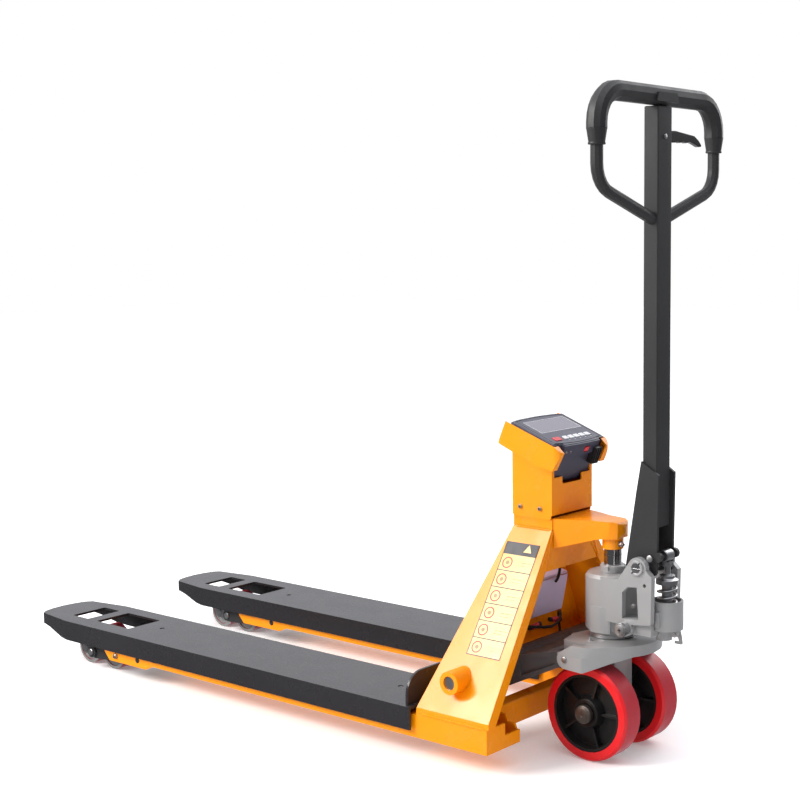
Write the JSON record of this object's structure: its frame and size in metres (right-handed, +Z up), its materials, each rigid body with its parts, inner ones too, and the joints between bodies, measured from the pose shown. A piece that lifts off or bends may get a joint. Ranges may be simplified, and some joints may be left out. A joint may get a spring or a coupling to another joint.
{
  "type": "pallet scale",
  "caption": "Hand pallet truck with a built-in weigh scale: two forks on a yellow A-frame, a tilted indicator, a pump with steering wheels and a loop handle.",
  "frame": {"origin": "middle of the bounding box at floor level, with the forks lowered and the handle upright", "axes": "+X towards the handle, -X towards the fork tips, +Z up"},
  "size_m": [1.5738, 0.5568, 1.2208],
  "materials": {
    "yellow_paint": "gloss",
    "charcoal_paint": "satin",
    "deck_paint": "semi-gloss",
    "silver_paint": "satin",
    "rocker_paint": "satin",
    "hub_iron": "black paint over a cast surface",
    "steel": "turned",
    "axle_steel": "browned",
    "chrome": "ground and plated",
    "tyre_red": "smooth polyurethane",
    "roller_red": "smooth polyurethane",
    "grip_rubber": "matte",
    "black_plastic": "matte",
    "case_plastic": "fine grain",
    "box_plastic": "matte",
    "red_plastic": "gloss",
    "key_plastic": "satin",
    "window_glass": "tinted",
    "cable_rubber": "smooth",
    "cell_alloy": "machined"
  },
  "bodies": {
    "base": {"base_plate": "silver_paint", "thrust_bearing": "steel"},
    "pump": {"pump_housing": "silver_paint", "wheel_column": "silver_paint", "wheel_axle": "axle_steel", "cylinder_gland": "silver_paint", "valve_plug": "steel", "handle_pivot_pin": "steel"},
    "steer_wheel_right": {"steer_tyre_right": "tyre_red", "steer_hub_right": "hub_iron"},
    "steer_wheel_left": {"steer_tyre_left": "tyre_red", "steer_hub_left": "hub_iron"},
    "drawbar": {"drawbar_bracket": "charcoal_paint", "drawbar_tube": "charcoal_paint", "handle_loop": "charcoal_paint", "handle_grip": "grip_rubber"},
    "pump_roller": {"pump_roller": "steel"},
    "hand_lever": {"hand_lever": "black_plastic"},
    "plunger": {"pump_plunger": "steel", "return_spring": "steel"},
    "release_lever": {"release_lever": "silver_paint"},
    "chassis": {"frame_post_right": "yellow_paint", "frame_post_left": "yellow_paint", "frame_top_box": "yellow_paint", "frame_back_panel": "yellow_paint", "heel_beam": "yellow_paint", "fork_channel_right": "yellow_paint", "fork_channel_left": "yellow_paint", "rocker_shaft": "steel", "lift_piston": "chrome", "deck_right": "deck_paint", "deck_left": "deck_paint", "load_cell_right_front": "cell_alloy", "load_cell_right_rear": "cell_alloy", "load_cell_left_front": "cell_alloy", "load_cell_left_rear": "cell_alloy", "junction_box": "box_plastic", "indicator_bracket": "yellow_paint", "indicator_case": "case_plastic", "indicator_window": "window_glass", "cable_indicator": "cable_rubber", "cable_load_cells": "cable_rubber"},
    "rocker": {"rocker": "rocker_paint"},
    "power_switch": {"power_switch": "red_plastic"},
    "key_power": {"key_power": "red_plastic"},
    "key_1": {"key_1": "key_plastic"},
    "key_2": {"key_2": "key_plastic"},
    "key_3": {"key_3": "key_plastic"},
    "key_4": {"key_4": "key_plastic"},
    "key_5": {"key_5": "key_plastic"},
    "push_rod_right": {"push_rod_right": "charcoal_paint"},
    "roller_bracket_right": {"roller_bracket_right": "charcoal_paint"},
    "bogie_right": {"bogie_right": "steel"},
    "load_roller_right_front": {"load_roller_right_front": "roller_red"},
    "load_roller_right_rear": {"load_roller_right_rear": "roller_red"},
    "push_rod_left": {"push_rod_left": "charcoal_paint"},
    "roller_bracket_left": {"roller_bracket_left": "charcoal_paint"},
    "bogie_left": {"bogie_left": "steel"},
    "load_roller_left_front": {"load_roller_left_front": "roller_red"},
    "load_roller_left_rear": {"load_roller_left_rear": "roller_red"}
  },
  "joints": [
    {"name": "steer", "type": "hinge", "parent": "base", "child": "pump", "pos_m": [0.638, 0, 0.225], "axis": [0, 0, 1], "range_deg": [-90, 90]},
    {"name": "steer_wheel_right_spin", "type": "hinge", "parent": "pump", "child": "steer_wheel_right", "pos_m": [0.638, -0.063, 0.09], "axis": [0, 1, 0], "continuous": true},
    {"name": "steer_wheel_left_spin", "type": "hinge", "parent": "pump", "child": "steer_wheel_left", "pos_m": [0.638, 0.063, 0.09], "axis": [0, 1, 0], "continuous": true},
    {"name": "handle", "type": "hinge", "parent": "pump", "child": "drawbar", "pos_m": [0.724, 0, 0.366], "axis": [0, 1, 0], "range_deg": [0, 70]},
    {"name": "pump_roller_spin", "type": "hinge", "parent": "drawbar", "child": "pump_roller", "pos_m": [0.755, 0, 0.385], "axis": [0, 1, 0], "continuous": true},
    {"name": "hand_lever_pivot", "type": "hinge", "parent": "drawbar", "child": "hand_lever", "pos_m": [0.7325, 0, 1.1324], "axis": [1, 0, 0], "range_deg": [-12, 12], "stiffness_Nm_per_rad": 1},
    {"name": "plunger_stroke", "type": "slide", "parent": "pump", "child": "plunger", "axis": [0, 0, -1], "range_m": [0, 0.043], "deforming": ["return_spring"]},
    {"name": "release_lever_pivot", "type": "hinge", "parent": "pump", "child": "release_lever", "pos_m": [0.776, 0, 0.243], "axis": [0, 1, 0], "range_deg": [-14, 14]},
    {"name": "lift", "type": "slide", "parent": "base", "child": "chassis", "axis": [0, 0, 1], "range_m": [0, 0.095]},
    {"name": "rocker_pivot", "type": "hinge", "parent": "chassis", "child": "rocker", "pos_m": [0.461, 0, 0.1577], "axis": [0, 1, 0], "range_deg": [0, 36]},
    {"name": "push_rod_right_pivot", "type": "hinge", "parent": "rocker", "child": "push_rod_right", "pos_m": [0.4714, -0.197, 0.1253], "axis": [0, 1, 0], "range_deg": [-36, 0]},
    {"name": "roller_bracket_right_pivot", "type": "hinge", "parent": "chassis", "child": "roller_bracket_right", "pos_m": [-0.4238, -0.195, 0.048], "axis": [0, 1, 0], "range_deg": [-36, 0]},
    {"name": "bogie_right_pivot", "type": "hinge", "parent": "roller_bracket_right", "child": "bogie_right", "pos_m": [-0.59, -0.195, 0.038], "axis": [0, 1, 0], "range_deg": [0, 36]},
    {"name": "load_roller_right_front_spin", "type": "hinge", "parent": "bogie_right", "child": "load_roller_right_front", "pos_m": [-0.6325, -0.195, 0.038], "axis": [0, 1, 0], "continuous": true},
    {"name": "load_roller_right_rear_spin", "type": "hinge", "parent": "bogie_right", "child": "load_roller_right_rear", "pos_m": [-0.5475, -0.195, 0.038], "axis": [0, 1, 0], "continuous": true},
    {"name": "push_rod_left_pivot", "type": "hinge", "parent": "rocker", "child": "push_rod_left", "pos_m": [0.4714, 0.197, 0.1253], "axis": [0, 1, 0], "range_deg": [-36, 0]},
    {"name": "roller_bracket_left_pivot", "type": "hinge", "parent": "chassis", "child": "roller_bracket_left", "pos_m": [-0.4238, 0.195, 0.048], "axis": [0, 1, 0], "range_deg": [-36, 0]},
    {"name": "bogie_left_pivot", "type": "hinge", "parent": "roller_bracket_left", "child": "bogie_left", "pos_m": [-0.59, 0.195, 0.038], "axis": [0, 1, 0], "range_deg": [0, 36]},
    {"name": "load_roller_left_front_spin", "type": "hinge", "parent": "bogie_left", "child": "load_roller_left_front", "pos_m": [-0.6325, 0.195, 0.038], "axis": [0, 1, 0], "continuous": true},
    {"name": "load_roller_left_rear_spin", "type": "hinge", "parent": "bogie_left", "child": "load_roller_left_rear", "pos_m": [-0.5475, 0.195, 0.038], "axis": [0, 1, 0], "continuous": true},
    {"name": "key_power_press", "type": "slide", "parent": "chassis", "child": "key_power", "axis": [-0.3478, 0, -0.9376], "range_m": [0, 0.0008], "stiffness_N_per_m": 400},
    {"name": "key_1_press", "type": "slide", "parent": "chassis", "child": "key_1", "axis": [-0.3478, 0, -0.9376], "range_m": [0, 0.0008], "stiffness_N_per_m": 400},
    {"name": "key_2_press", "type": "slide", "parent": "chassis", "child": "key_2", "axis": [-0.3478, 0, -0.9376], "range_m": [0, 0.0008], "stiffness_N_per_m": 400},
    {"name": "key_3_press", "type": "slide", "parent": "chassis", "child": "key_3", "axis": [-0.3478, 0, -0.9376], "range_m": [0, 0.0008], "stiffness_N_per_m": 400},
    {"name": "key_4_press", "type": "slide", "parent": "chassis", "child": "key_4", "axis": [-0.3478, 0, -0.9376], "range_m": [0, 0.0008], "stiffness_N_per_m": 400},
    {"name": "key_5_press", "type": "slide", "parent": "chassis", "child": "key_5", "axis": [-0.3478, 0, -0.9376], "range_m": [0, 0.0008], "stiffness_N_per_m": 400},
    {"name": "power_switch_rock", "type": "hinge", "parent": "chassis", "child": "power_switch", "pos_m": [0.56292, 0.017, 0.56208], "axis": [0, 1, 0], "range_deg": [-3, 3]}
  ],
  "couplings": [
    {"joint": "rocker_pivot", "follows": "lift", "rad_per_m": 6.5496},
    {"joint": "plunger_stroke", "follows": "handle", "m_per_rad": 0.035},
    {"joint": "release_lever_pivot", "follows": "hand_lever_pivot", "ratio": 1},
    {"joint": "push_rod_right_pivot", "follows": "lift", "rad_per_m": -6.5496},
    {"joint": "roller_bracket_right_pivot", "follows": "lift", "rad_per_m": -6.5496},
    {"joint": "bogie_right_pivot", "follows": "lift", "rad_per_m": 6.5496},
    {"joint": "push_rod_left_pivot", "follows": "lift", "rad_per_m": -6.5496},
    {"joint": "roller_bracket_left_pivot", "follows": "lift", "rad_per_m": -6.5496},
    {"joint": "bogie_left_pivot", "follows": "lift", "rad_per_m": 6.5496}
  ]
}
